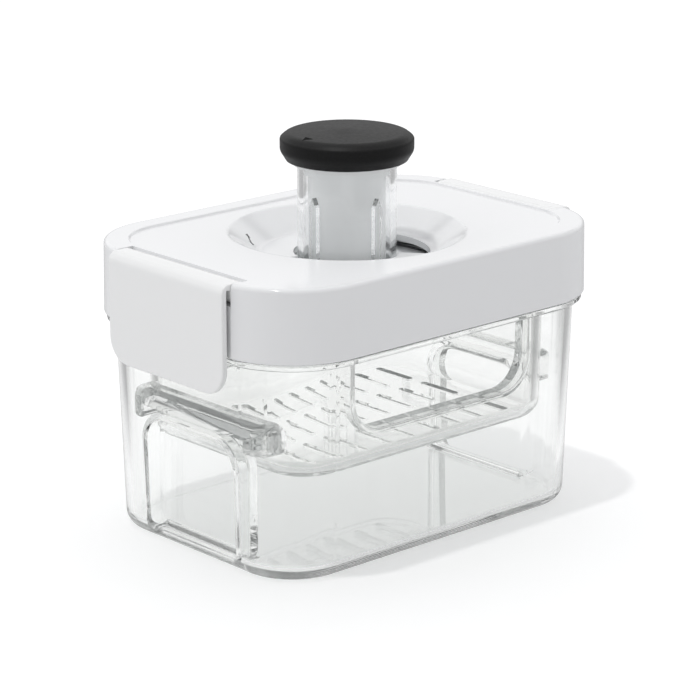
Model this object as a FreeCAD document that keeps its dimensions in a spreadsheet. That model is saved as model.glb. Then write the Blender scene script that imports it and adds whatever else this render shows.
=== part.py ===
import FreeCAD, Part
import math
import os
import Sketcher
from types import SimpleNamespace

# A tofu press: a clear container, a drainage basket in it, and a lid with a spring-loaded plunger.
# X runs along the length, Y across, Z up; the origin is under the middle of the base.

doc = FreeCAD.newDocument("tofu_press")
Vector = FreeCAD.Vector

# ---------------------------------------------------------------- driving dimensions (millimetres, degrees)
DIMENSIONS = {
    # clear container
    "body_length": 155.6, "body_width": 107.7, "body_corner": 23.5, "body_draft": 1.85, "body_top": 93.0,
    "body_wall": 2.6, "body_floor": 3.6, "foot_round": 5.5, "floor_round": 3.0,
    "flange_bottom": 81.3, "flange_top": 83.7, "flange_length": 168.8, "flange_width": 120.8,
    "flange_corner": 31.9, "recess_half": 25.5, "recess_bottom": 3.2, "recess_top": 48.5,
    "recess_corner": 11.0, "recess_foot_corner": 4.5, "recess_face": 70.5,
    "bump_low": 3.2, "bump_depth": 9.4, "bump_foot_low": 1.6, "bump_foot_depth": 8.2,
    "rim_round": 0.9, "flange_round": 0.8, "recess_round": 1.5, "bump_round": 2.0, "mouth_round": 0.9,
    "mouth_lean": 1.2,
    # drainage basket
    "basket_length": 132.4, "basket_width": 94.8, "basket_corner": 18.5, "basket_draft": 0.7,
    "basket_bottom": 35.5, "basket_top": 90.0, "basket_wall": 2.8, "basket_floor": 3.0, "basket_round": 7.0,
    "notch_half": 44.0, "notch_bottom": 52.0, "notch_corner": 13.0, "lip_width": 2.2, "lip_face": 51.9,
    "shelf_half": 38.0, "shelf_face": 75.8, "shelf_top": 57.2, "shelf_seat": 51.4, "shelf_low": 46.0,
    "shelf_corner": 7.0, "shelf_round": 4.5, "tab_inner": 29.0,
    "slot_length": 20.0, "slot_width": 3.0, "slot_pitch": 12.0, "slot_row": 26.0,
    "basket_rim_round": 0.9, "lip_round": 0.8, "shelf_under_round": 1.0,
    # lid
    "lid_length": 170.8, "lid_width": 122.8, "lid_corner": 32.9, "lid_bottom": 84.0, "lid_top": 111.5,
    "lid_draft": 0.85, "lid_wall": 2.4, "lid_edge": 1.6, "skirt_round": 0.8, "panel_inset": 9.4,
    "panel_sink": 0.8, "panel_slope": 40.0, "panel_corner": 24.0, "dish_radius": 45.0, "dish_floor": 102.5,
    "dish_floor_radius": 33.5, "dish_rim_round": 2.5, "dish_foot_round": 4.0, "dish_foot": 0.5,
    "dish_brim": 1.5, "bore_radius": 20.3, "window_radius": 31.5, "window_front": 50.0, "window_back": 18.0,
    "rib_outer_length": 154.4, "rib_outer_width": 106.6, "rib_corner": 22.0, "rib_bottom": 90.6,
    "boss_radius": 3.2, "boss_circle": 28.0, "boss_angle": 28.0, "boss_bottom": 97.4,
    "housing_inner": 73.8, "housing_bottom": 100.8, "housing_half": 38.5,
    # latches and their pins
    "pivot_x": 80.5, "pivot_z": 107.5, "barrel_radius": 4.0, "panel_edge": 76.8, "pocket_wall": 84.7,
    "latch_half": 32.4, "latch_face": 88.6, "latch_wall": 2.4, "latch_bottom": 70.0, "latch_corner": 10.0,
    "latch_edge": 3.6, "latch_round": 0.6, "hook_top": 81.0, "hook_bottom": 77.6, "hook_reach": 82.6,
    "hook_nose": 1.0, "hook_half": 21.0,
    "pin_radius": 1.25, "pin_half": 36.0,
    # plunger
    "stem_radius": 18.75, "stem_wall": 2.2, "stem_bottom": 89.7, "stem_top": 136.6, "stem_rib_width": 3.2,
    "stem_rib_depth": 1.8, "stem_rib_top": 122.0, "stem_rib_point": 125.6,
    "plug_bottom": 133.6, "liner_wall": 1.8, "liner_bottom": 94.6, "neck_radius": 20.4, "neck_top": 138.2,
    "core_radius": 19.0, "core_top": 143.5,
    "knob_radius": 25.2, "knob_under": 23.0, "belt_low": 141.8, "belt_high": 146.3, "knob_shoulder": 148.4,
    "knob_shoulder_radius": 22.6, "knob_top": 149.8, "belt_low_round": 4.0, "belt_high_round": 1.2,
    "shoulder_round": 5.0,
    "foot_bottom": 87.6, "foot_floor": 2.0, "foot_radius": 24.9, "foot_inner": 22.8, "foot_ring_top": 91.8,
    "wing_bottom": 91.4, "wing_top": 93.8, "wing_radius": 30.8, "wing_half_angle": 14.0,
    "plate_length": 124.6, "plate_width": 87.0, "plate_corner": 15.0, "plate_bottom": 84.0,
    "plate_deck": 2.6, "plate_rim_top": 91.0, "plate_rim_wall": 2.0, "post_radius": 6.0, "post_top": 90.0,
    "thrust_inner": 12.0, "thrust_outer": 22.0, "groove_width": 2.0, "groove_depth": 0.8,
    "groove_pitch": 10.0, "washer_radius": 11.0, "washer_thick": 1.2, "swivel_head": 4.0,
    "swivel_head_height": 2.4, "swivel_shank": 1.5,
    # twist lock and spring
    "collar_radius": 19.05, "collar_wall": 3.2, "collar_bottom": 92.2, "collar_top": 99.8,
    "disc_bottom": 94.8, "disc_top": 97.1, "disc_radius": 34.4,
    "ledge_inner": 26.0, "ledge_outer": 33.6, "ledge_bottom": 88.6, "ledge_top": 91.0,
    "ledge_start": 30.0, "ledge_end": 54.0, "post_inner": 31.4, "post_start": 36.0,
    "screw_head": 2.6, "screw_head_height": 1.6, "screw_shank": 1.15, "screw_end": 100.9,
    "spring_radius": 37.6, "spring_wire": 2.0, "spring_turns": 4.0, "spring_low": 86.7, "spring_high": 100.1,
    "seat_inner": 35.2, "seat_outer": 41.0,
    # fits, and how far a cut or a joining overlap runs past the surface that it starts from
    "clearance": 0.3, "running_fit": 0.06, "overrun": 1.0, "sliver": 0.01,
}
sheet = doc.addObject("Spreadsheet::Sheet", "Sizes")
for row, (alias, value) in enumerate(DIMENSIONS.items(), start=1):
    sheet.set(f"A{row}", alias)
    sheet.set(f"B{row}", str(value))
    sheet.setAlias(f"B{row}", alias)
doc.recompute()

# how many of each repeated detail
SLOTS_ALONG = 9
SLOTS_ACROSS = 3
PLATE_GROOVES = 11
STEM_RIBS = 4
COIL_STEPS = 24
WIRE_SIDES = 8


class Size:
    """A number together with the formula on the sheet's cells that gives it."""

    def __init__(self, number, formula):
        self.number = number
        self.formula = formula

    def joined(self, sign, number, other):
        right = other.formula if isinstance(other, Size) else str(other)
        return Size(number, f"({self.formula} {sign} {right})")

    def __add__(self, other):
        return self.joined("+", self.number + plain(other), other)

    def __sub__(self, other):
        return self.joined("-", self.number - plain(other), other)

    def __mul__(self, other):
        return self.joined("*", self.number * plain(other), other)

    def __truediv__(self, other):
        return self.joined("/", self.number / plain(other), other)


def plain(value):
    return value.number if isinstance(value, Size) else value


S = SimpleNamespace(**{alias: Size(float(sheet.get(alias)), f"Sizes.{alias}") for alias in DIMENSIONS})
ZERO = Size(0.0, "0")
TOUCH = 1e-3  # edges and planes nearer than this are one


# ---------------------------------------------------------------- sketches
def new_body(name):
    body = doc.addObject("PartDesign::Body", name)
    body.Label = name
    return body


def plane_of(body, role):
    return next(item for item in body.Origin.OriginFeatures if item.Role == role)


def new_sketch(body, name, role="XY_Plane", offset=ZERO, shift=ZERO):
    """An empty sketch on one of the body's origin planes, moved along its normal and sideways."""
    sketch = body.newObject("Sketcher::SketchObject", name)
    sketch.AttachmentSupport = [(plane_of(body, role), "")]
    sketch.MapMode = "FlatFace"
    sketch.setExpression(".AttachmentOffset.Base.z", offset.formula)
    sketch.setExpression(".AttachmentOffset.Base.x", shift.formula)
    return sketch


def sketch_shift(sketch, up):
    """Moves a sketch along its own vertical axis."""
    sketch.setExpression(".AttachmentOffset.Base.y", up.formula)


def dimension(sketch, kind, parts, size):
    """Adds a driving constraint whose value follows the sheet."""
    index = sketch.addConstraint(Sketcher.Constraint(kind, *parts, size.number))
    name = f"{kind}{index}"
    sketch.renameConstraint(index, name)
    sketch.setExpression(f"Constraints.{name}", size.formula)


def add_polygon(sketch, points):
    """A closed outline whose corners are pairs of sizes, all at or right of the vertical axis."""
    first = sketch.GeometryCount
    count = len(points)
    ends = [Vector(x.number, y.number, 0) for x, y in points]
    for i in range(count):
        sketch.addGeometry(Part.LineSegment(ends[i], ends[(i + 1) % count]), False)
    for i in range(count):
        sketch.addConstraint(Sketcher.Constraint("Coincident", first + i, 2, first + (i + 1) % count, 1))
    for i, (x, y) in enumerate(points):
        if x is ZERO:
            sketch.addConstraint(Sketcher.Constraint("PointOnObject", first + i, 1, -2))
        else:
            dimension(sketch, "DistanceX", (-1, 1, first + i, 1), x)
        if y is ZERO:
            sketch.addConstraint(Sketcher.Constraint("PointOnObject", first + i, 1, -1))
        else:
            dimension(sketch, "DistanceY", (-1, 1, first + i, 1), y)


def add_circle(sketch, x, y, radius):
    circle = Part.Circle(Vector(x.number, y.number, 0), Vector(0, 0, 1), radius.number)
    index = sketch.addGeometry(circle, False)
    dimension(sketch, "Radius", (index,), radius)
    if x is ZERO and y is ZERO:
        sketch.addConstraint(Sketcher.Constraint("Coincident", index, 3, -1, 1))
        return
    for kind, value, axis in (("DistanceX", x, -2), ("DistanceY", y, -1)):
        if value is ZERO:
            sketch.addConstraint(Sketcher.Constraint("PointOnObject", index, 3, axis))
        else:
            dimension(sketch, kind, (-1, 1, index, 3), value)


def add_rounded(sketch, half, low, high, corner):
    """A rounded rectangle, even about the vertical axis, from low to high on it.

    low None centres it on the origin, with high as half its height.
    """
    first = sketch.GeometryCount
    x = half.number
    y1 = high.number
    y0 = -y1 if low is None else low.number
    r = corner.number
    centres = [(x - r, y0 + r, 270), (x - r, y1 - r, 0), (r - x, y1 - r, 90), (r - x, y0 + r, 180)]
    lines = [((r - x, y0), (x - r, y0)), ((x, y0 + r), (x, y1 - r)), ((x - r, y1), (r - x, y1)),
             ((-x, y1 - r), (-x, y0 + r))]
    for (a, b), (cx, cy, start) in zip(lines, centres):
        sketch.addGeometry(Part.LineSegment(Vector(*a, 0), Vector(*b, 0)), False)
        circle = Part.Circle(Vector(cx, cy, 0), Vector(0, 0, 1), r)
        arc = Part.ArcOfCircle(circle, math.radians(start), math.radians(start + 90))
        sketch.addGeometry(arc, False)
    for i in range(4):
        line = first + 2 * i
        following = first + (2 * i + 2) % 8
        sketch.addConstraint(Sketcher.Constraint("Tangent", line, 2, line + 1, 1))
        sketch.addConstraint(Sketcher.Constraint("Tangent", line + 1, 2, following, 1))
        if i or low is None:
            sketch.addConstraint(Sketcher.Constraint(("Horizontal", "Vertical")[i % 2], line))
        if i:
            sketch.addConstraint(Sketcher.Constraint("Equal", first + 1, line + 1))
    dimension(sketch, "Radius", (first + 1,), corner)
    dimension(sketch, "DistanceX", (first + 6, 1, first + 2, 1), half * 2)
    if low is None:
        sketch.addConstraint(Sketcher.Constraint("Symmetric", first, 1, first + 4, 1, -1, 1))
        dimension(sketch, "DistanceY", (first, 1, first + 4, 1), high * 2)
    else:
        sketch.addConstraint(Sketcher.Constraint("Symmetric", first, 1, first, 2, -2))
        dimension(sketch, "DistanceY", (-1, 1, first, 1), low)
        dimension(sketch, "DistanceY", (-1, 1, first + 4, 1), high)


def add_sector(sketch, inner, outer, start, end):
    """A ring sector about the origin between two angles in degrees."""
    first = sketch.GeometryCount
    angles = [math.radians(start.number), math.radians(end.number)]
    for radius in (outer, inner):
        circle = Part.Circle(Vector(0, 0, 0), Vector(0, 0, 1), radius.number)
        sketch.addGeometry(Part.ArcOfCircle(circle, *angles), False)
    for angle in angles:
        ends = [Vector(r.number * math.cos(angle), r.number * math.sin(angle), 0) for r in (inner, outer)]
        sketch.addGeometry(Part.LineSegment(*ends), False)
    for i, radius in enumerate((outer, inner)):
        sketch.addConstraint(Sketcher.Constraint("Coincident", first + i, 3, -1, 1))
        dimension(sketch, "Radius", (first + i,), radius)
    for i, end_of_arc in ((2, 1), (3, 2)):
        sketch.addConstraint(Sketcher.Constraint("Coincident", first + 1, end_of_arc, first + i, 1))
        sketch.addConstraint(Sketcher.Constraint("Coincident", first, end_of_arc, first + i, 2))
        sketch.addConstraint(Sketcher.Constraint("PointOnObject", -1, 1, first + i))
    for line, angle in ((first + 2, start), (first + 3, end)):
        index = sketch.addConstraint(Sketcher.Constraint("Angle", line, math.radians(angle.number)))
        name = f"Angle{index}"
        sketch.renameConstraint(index, name)
        sketch.setExpression(f"Constraints.{name}", f"{angle.formula} * 1 deg")


# ---------------------------------------------------------------- features
volumes = {}


def changed(body, feature, sign):
    """Recomputes and stops unless the feature added (sign 1) or removed (sign -1) material."""
    before = volumes.get(body.Name, 0.0)
    doc.recompute()
    after = 0.0 if "Invalid" in feature.State else feature.Shape.Volume
    if "Invalid" in feature.State or (after - before) * sign < TOUCH:
        raise RuntimeError(f"{body.Label}.{feature.Label} failed: {before:.1f} to {after:.1f} cubic mm")
    volumes[body.Name] = after
    body.Tip = feature
    return feature


def extrude(kind, body, sketch, length, back=False, taper=None, even=False):
    feature = body.newObject(f"PartDesign::{kind}", f"{sketch.Name}_{kind.lower()}")
    feature.Profile = sketch
    feature.SideType = "Symmetric" if even else "One side"
    feature.setExpression("Length", length.formula)
    feature.Reversed = back
    if taper:
        feature.setExpression("TaperAngle", taper.formula)
    sketch.Visibility = False
    return changed(body, feature, 1 if kind == "Pad" else -1)


def pad(body, sketch, length, **options):
    return extrude("Pad", body, sketch, length, **options)


def pocket(body, sketch, length, **options):
    return extrude("Pocket", body, sketch, length, **options)


def turn(kind, body, sketch):
    """A full Revolution or Groove of the sketch about the body's upright axis."""
    feature = body.newObject(f"PartDesign::{kind}", f"{sketch.Name}_{kind.lower()}")
    feature.Profile = sketch
    feature.ReferenceAxis = (sketch, ["V_Axis"])
    feature.Angle = 360.0
    return changed(body, feature, 1 if kind == "Revolution" else -1)


def mirrored(body, originals, role, sign):
    feature = body.newObject("PartDesign::Mirrored", f"{originals[0].Name}_mirrored")
    feature.Originals = originals
    feature.MirrorPlane = (plane_of(body, role), [""])
    return changed(body, feature, sign)


def turned_copies(body, originals, count, sign):
    """Copies of features spaced evenly round the upright axis."""
    feature = body.newObject("PartDesign::PolarPattern", f"{originals[0].Name}_round")
    feature.Originals = originals
    feature.Axis = (plane_of(body, "Z_Axis"), [""])
    feature.Angle = 360.0
    feature.Occurrences = count
    return changed(body, feature, sign)


def grid_of(body, original, pitch_x, count_x, pitch_y, count_y):
    """Copies of a pocket in rows along X and Y."""
    feature = body.newObject("PartDesign::LinearPattern", f"{original.Name}_grid")
    feature.Originals = [original]
    feature.Direction = (plane_of(body, "X_Axis"), [""])
    feature.setExpression("Length", (pitch_x * (count_x - 1)).formula)
    feature.Occurrences = count_x
    feature.Direction2 = (plane_of(body, "Y_Axis"), [""])
    feature.setExpression("Length2", (pitch_y * (count_y - 1)).formula)
    feature.Occurrences2 = count_y
    return changed(body, feature, -1)


def round_edges(body, radius, wanted, label):
    """Fillets the edges for which wanted(edge) is true."""
    base = body.Tip
    names = [f"Edge{i}" for i, edge in enumerate(base.Shape.Edges, start=1) if wanted(edge)]
    feature = body.newObject("PartDesign::Fillet", label)
    feature.Base = (base, names)
    feature.setExpression("Radius", radius.formula)
    doc.recompute()
    volumes[body.Name] = feature.Shape.Volume
    body.Tip = feature
    return feature


def level(edge, z):
    """True if the whole edge lies at height z."""
    box = edge.BoundBox
    return abs(box.ZMin - z) < TOUCH and abs(box.ZMax - z) < TOUCH


def upright(edge, x, y):
    """True for an upright edge at x or -x and at y or -y."""
    box = edge.BoundBox
    narrow = max(box.XLength, box.YLength) < TOUCH
    return narrow and abs(abs(box.XMin) - x) < TOUCH and abs(abs(box.YMin) - y) < TOUCH


def reach(edge):
    """How far along X the edge's nearer end is from the middle."""
    return min(abs(edge.BoundBox.XMin), abs(edge.BoundBox.XMax))


def spread(edge):
    """How far the edge's farther end is from the middle, along X and along Y."""
    box = edge.BoundBox
    return max(abs(box.XMin), abs(box.XMax)), max(abs(box.YMin), abs(box.YMax))


def across(edge, axis, distance):
    """True if the whole edge lies in the plane at that distance, or minus it, along X or Y."""
    box = edge.BoundBox
    low, high = getattr(box, f"{axis}Min"), getattr(box, f"{axis}Max")
    return high - low < TOUCH and abs(abs(low) - distance) < TOUCH


def ring(edge, z, radius):
    """True for a circle of that radius at height z."""
    return level(edge, z) and abs(getattr(edge.Curve, "Radius", 0) - radius) < S.sliver.number


# ---------------------------------------------------------------- container
def make_container():
    """Water catcher: drafted walls, thick floor, rim flange, and a recess in each short wall."""
    body = new_body("outer_container")
    outline = new_sketch(body, "outline")
    add_rounded(outline, S.body_length / 2, None, S.body_width / 2, S.body_corner)
    pad(body, outline, S.body_top, taper=S.body_draft)
    round_edges(body, S.foot_round, lambda edge: level(edge, 0.0), "foot_fillet")

    flange = new_sketch(body, "flange", offset=S.flange_bottom)
    add_rounded(flange, S.flange_length / 2, None, S.flange_width / 2, S.flange_corner)
    pad(body, flange, S.flange_top - S.flange_bottom)

    cavity = new_sketch(body, "cavity", offset=S.body_floor)
    add_rounded(cavity, S.body_length / 2 - S.body_wall, None, S.body_width / 2 - S.body_wall,
                S.body_corner - S.body_wall)
    pocket(body, cavity, S.body_top, back=True, taper=S.body_draft)
    floor = S.body_floor.number
    round_edges(body, S.floor_round, lambda edge: level(edge, floor), "floor_fillet")

    outlines = (("", S.recess_top, S.recess_corner, S.bump_low, S.bump_depth),
                ("_foot", S.recess_top / 2, S.recess_foot_corner, S.bump_foot_low, S.bump_foot_depth))
    bumps = []
    for name, high, corner, bump_low, depth in outlines:
        bump = new_sketch(body, f"bump{name}", "YZ_Plane", S.recess_face - S.body_wall)
        add_rounded(bump, S.recess_half + S.body_wall, bump_low, high + S.body_wall, corner + S.body_wall)
        bumps.append(pad(body, bump, depth))
    mirrored(body, bumps, "YZ_Plane", 1)
    cuts = []
    for name, high, corner, *_ in outlines:
        recess = new_sketch(body, f"recess{name}", "YZ_Plane", S.recess_face)
        add_rounded(recess, S.recess_half, S.recess_bottom, high, corner)
        cuts.append(pocket(body, recess, S.body_length / 2, back=True))
    mirrored(body, cuts, "YZ_Plane", -1)

    rim, back, behind = S.body_top.number, S.recess_face.number, (S.recess_face - S.body_wall).number
    outside, lean = (S.body_length / 2 - S.clearance).number, S.mouth_lean.number
    mouth_low, mouth_high = (S.recess_bottom - S.clearance).number, (S.recess_top + S.clearance).number
    mouth_side, shortest = (S.recess_half + S.clearance).number, S.recess_round.number
    out_x, out_y = ((side / 2 - S.sliver).number for side in (S.flange_length, S.flange_width))
    low, high = S.flange_bottom.number, S.flange_top.number
    round_edges(body, S.rim_round, lambda edge: level(edge, rim), "rim_fillet")
    round_edges(body, S.flange_round, lambda edge: (level(edge, low) or level(edge, high))
                and (spread(edge)[0] > out_x or spread(edge)[1] > out_y), "flange_fillet")
    round_edges(body, S.recess_round, lambda edge: across(edge, "X", back), "recess_fillet")
    round_edges(body, S.bump_round, lambda edge: across(edge, "X", behind), "bump_fillet")
    round_edges(body, S.mouth_round, lambda edge: reach(edge) > outside and edge.BoundBox.ZMin > mouth_low
                and edge.BoundBox.ZMax < mouth_high and edge.BoundBox.XLength < lean
                and spread(edge)[1] < mouth_side and edge.Length > shortest, "recess_mouth_fillet")
    return body


# ---------------------------------------------------------------- basket
def make_basket():
    """Drainage basket: a notch with a lip in each long wall, a shelf on each short wall, a slotted floor."""
    body = new_body("inner_basket")
    outline = new_sketch(body, "basket_outline", offset=S.basket_bottom)
    add_rounded(outline, S.basket_length / 2, None, S.basket_width / 2, S.basket_corner)
    pad(body, outline, S.basket_top - S.basket_bottom, taper=S.basket_draft)
    bottom = S.basket_bottom.number
    round_edges(body, S.basket_round, lambda edge: level(edge, bottom), "basket_fillet")

    shelf = new_sketch(body, "shelf", "XZ_Plane")
    wall = S.basket_length / 2 - S.basket_corner / 2
    add_polygon(shelf, [(wall, S.shelf_seat), (S.shelf_face, S.shelf_seat), (S.shelf_face, S.shelf_top),
                        (wall, S.shelf_top)])
    shelf_pad = pad(body, shelf, S.shelf_half * 2, even=True)
    tabs = []
    for name, start in (("near_tab", S.tab_inner), ("far_tab", ZERO - S.shelf_half)):
        tab = new_sketch(body, name, "XZ_Plane", start)
        add_polygon(tab, [(wall, S.shelf_low), (S.shelf_face, S.shelf_low), (S.shelf_face, S.shelf_seat),
                          (wall, S.shelf_seat)])
        tabs.append(pad(body, tab, S.shelf_half - S.tab_inner))
    mirrored(body, [shelf_pad, *tabs], "YZ_Plane", 1)
    face, end, top = S.shelf_face.number, S.shelf_half.number, S.shelf_top.number
    outer = (S.shelf_face - S.shelf_corner - S.clearance).number
    round_edges(body, S.shelf_corner, lambda edge: upright(edge, face, end), "shelf_corners")
    round_edges(body, S.shelf_round, lambda edge: level(edge, top) and reach(edge) > outer, "shelf_fillet")

    lip = new_sketch(body, "lip", "XZ_Plane", S.basket_width / 2 - S.basket_wall / 2)
    add_rounded(lip, S.notch_half + S.lip_width, S.notch_bottom - S.lip_width, S.basket_top + S.notch_corner,
                S.notch_corner + S.lip_width)
    lip_pad = pad(body, lip, S.lip_face - S.basket_width / 2 + S.basket_wall / 2)
    mirrored(body, [lip_pad], "XZ_Plane", 1)

    trim = new_sketch(body, "trim", offset=S.basket_top)
    add_rounded(trim, S.shelf_face, None, S.lip_face + S.lip_width, S.basket_corner)
    pocket(body, trim, S.notch_corner * 2, back=True)

    hollow = new_sketch(body, "hollow", offset=S.basket_bottom + S.basket_floor)
    add_rounded(hollow, S.basket_length / 2 - S.basket_wall, None, S.basket_width / 2 - S.basket_wall,
                S.basket_corner - S.basket_wall)
    pocket(body, hollow, S.basket_top, back=True, taper=S.basket_draft)
    floor = (S.basket_bottom + S.basket_floor).number
    round_edges(body, S.basket_round - S.basket_wall, lambda edge: level(edge, floor), "hollow_fillet")

    notch = new_sketch(body, "notch", "XZ_Plane")
    add_rounded(notch, S.notch_half, S.notch_bottom, S.basket_top + S.notch_corner, S.notch_corner)
    pocket(body, notch, S.basket_width * 2, even=True)

    first_x = ZERO - S.slot_pitch * ((SLOTS_ALONG - 1) / 2)
    first_y = ZERO - S.slot_row * ((SLOTS_ACROSS - 1) / 2)
    slot = new_sketch(body, "slot", offset=S.basket_bottom + S.basket_floor * 2, shift=first_x)
    sketch_shift(slot, first_y)
    add_rounded(slot, S.slot_width / 2, None, S.slot_length / 2, S.slot_width / 2 - S.sliver)
    slot_cut = pocket(body, slot, S.basket_floor * 3)
    grid_of(body, slot_cut, S.slot_pitch, SLOTS_ALONG, S.slot_row, SLOTS_ACROSS)
    rim, lip_face, under = S.basket_top.number, S.lip_face.number, S.shelf_low.number
    round_edges(body, S.basket_rim_round, lambda edge: level(edge, rim), "basket_rim_fillet")
    round_edges(body, S.lip_round, lambda edge: across(edge, "Y", lip_face), "lip_fillet")
    round_edges(body, S.shelf_under_round, lambda edge: level(edge, under) and spread(edge)[0] > outer,
                "tab_fillet")
    return body


# ---------------------------------------------------------------- lid
def make_lid():
    """White lid: skirt, sunk top panel, dish and opening, housings for the latch barrels."""
    body = new_body("lid_shell")
    outline = new_sketch(body, "lid_outline", offset=S.lid_bottom)
    add_rounded(outline, S.lid_length / 2, None, S.lid_width / 2, S.lid_corner)
    pad(body, outline, S.lid_top - S.lid_bottom, taper=ZERO - S.lid_draft)
    top = S.lid_top.number
    round_edges(body, S.lid_edge, lambda edge: level(edge, top), "lid_edge_fillet")

    hollow = new_sketch(body, "lid_hollow", offset=S.lid_bottom)
    add_rounded(hollow, S.lid_length / 2 - S.lid_wall, None, S.lid_width / 2 - S.lid_wall,
                S.lid_corner - S.lid_wall)
    pocket(body, hollow, S.lid_top - S.lid_bottom - S.lid_wall, back=True, taper=ZERO - S.lid_draft)

    ceiling = S.lid_top - S.lid_wall
    rib = new_sketch(body, "locating_rib", offset=S.rib_bottom)
    for inset in (ZERO, S.lid_wall):
        add_rounded(rib, S.rib_outer_length / 2 - inset, None, S.rib_outer_width / 2 - inset,
                    S.rib_corner - inset)
    pad(body, rib, ceiling - S.rib_bottom + S.sliver)

    housing = new_sketch(body, "housing", "XZ_Plane")
    outer = S.lid_length / 2 - S.lid_wall
    add_polygon(housing, [(S.housing_inner, S.housing_bottom), (outer, S.housing_bottom), (outer, ceiling),
                          (S.housing_inner, ceiling)])
    mirrored(body, [pad(body, housing, S.housing_half * 2, even=True)], "YZ_Plane", 1)

    under = S.dish_floor - S.lid_wall
    cone = new_sketch(body, "dish_cone", "XZ_Plane")
    foot, brim = S.dish_floor_radius + S.dish_foot, S.dish_radius + S.dish_brim
    add_polygon(cone, [(S.bore_radius, under), (foot, under), (brim, ceiling),
                       (brim, ceiling + S.lid_wall / 2), (S.bore_radius, ceiling + S.lid_wall / 2)])
    turn("Revolution", body, cone)
    dish = new_sketch(body, "dish", "XZ_Plane")
    add_polygon(dish, [(ZERO, S.dish_floor), (S.dish_floor_radius, S.dish_floor),
                       (S.dish_radius, S.lid_top - S.panel_sink), (S.dish_radius, S.lid_top + S.overrun),
                       (ZERO, S.lid_top + S.overrun)])
    turn("Groove", body, dish)

    boss = new_sketch(body, "screw_boss", offset=S.boss_bottom)
    pilot = new_sketch(body, "screw_pilot", offset=S.boss_bottom)
    for x, y in screw_places():
        add_circle(boss, x, y, S.boss_radius)
        add_circle(pilot, x, y, S.screw_shank + S.running_fit)
    pad(body, boss, under - S.boss_bottom + S.sliver)
    pocket(body, pilot, S.screw_end - S.boss_bottom + S.clearance, back=True)

    panel = new_sketch(body, "panel", offset=S.lid_top)
    add_rounded(panel, S.lid_length / 2 - S.panel_inset, None, S.lid_width / 2 - S.panel_inset,
                S.panel_corner)
    pocket(body, panel, S.panel_sink, taper=ZERO - S.panel_slope)

    window = new_sketch(body, "window", offset=S.lid_top)
    add_sector(window, S.bore_radius - S.overrun, S.window_radius, ZERO - S.window_front, S.window_back)
    mirrored(body, [pocket(body, window, S.lid_top)], "YZ_Plane", -1)

    cuts = []
    seat = new_sketch(body, "latch_seat", "XZ_Plane")
    low = S.lid_bottom - S.overrun
    add_polygon(seat, [(S.panel_edge, S.lid_top + S.overrun), (S.panel_edge, S.pivot_z),
                       (S.pivot_x, S.pivot_z), (S.pivot_x, S.pivot_z - S.barrel_radius - S.clearance),
                       (S.pocket_wall, S.pivot_z - S.barrel_radius - S.clearance), (S.pocket_wall, low),
                       (S.latch_face, low), (S.latch_face, S.lid_top + S.overrun)])
    cuts.append(pocket(body, seat, (S.latch_half + S.clearance) * 2, even=True))
    barrel = new_sketch(body, "barrel_seat", "XZ_Plane")
    add_circle(barrel, S.pivot_x, S.pivot_z, S.barrel_radius + S.clearance)
    cuts.append(pocket(body, barrel, (S.latch_half + S.clearance) * 2, even=True))
    pin = new_sketch(body, "pin_hole", "XZ_Plane")
    add_circle(pin, S.pivot_x, S.pivot_z, S.pin_radius + S.running_fit)
    cuts.append(pocket(body, pin, (S.pin_half + S.clearance) * 2, even=True))
    mirrored(body, cuts, "YZ_Plane", -1)

    low, sunk, floor = S.lid_bottom.number, (S.lid_top - S.panel_sink).number, S.dish_floor.number
    out_x, out_y = ((side / 2 - S.lid_wall / 2).number for side in (S.lid_length, S.lid_width))
    rim, foot = S.dish_radius.number, S.dish_floor_radius.number
    round_edges(body, S.skirt_round, lambda edge: level(edge, low)
                and (spread(edge)[0] > out_x or spread(edge)[1] > out_y), "skirt_fillet")
    round_edges(body, S.dish_rim_round, lambda edge: ring(edge, sunk, rim), "dish_rim_fillet")
    round_edges(body, S.dish_foot_round, lambda edge: ring(edge, floor, foot), "dish_foot_fillet")
    return body


def screw_places():
    """The four collar screws, in pairs each side of the opening."""
    places = []
    for middle in (90, 270):
        for side in (-1, 1):
            angle = math.radians(middle + side * S.boss_angle.number)
            along, aside = round(math.cos(angle), 5), round(math.sin(angle), 5)
            places.append((S.boss_circle * along, S.boss_circle * aside))
    return places


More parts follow.
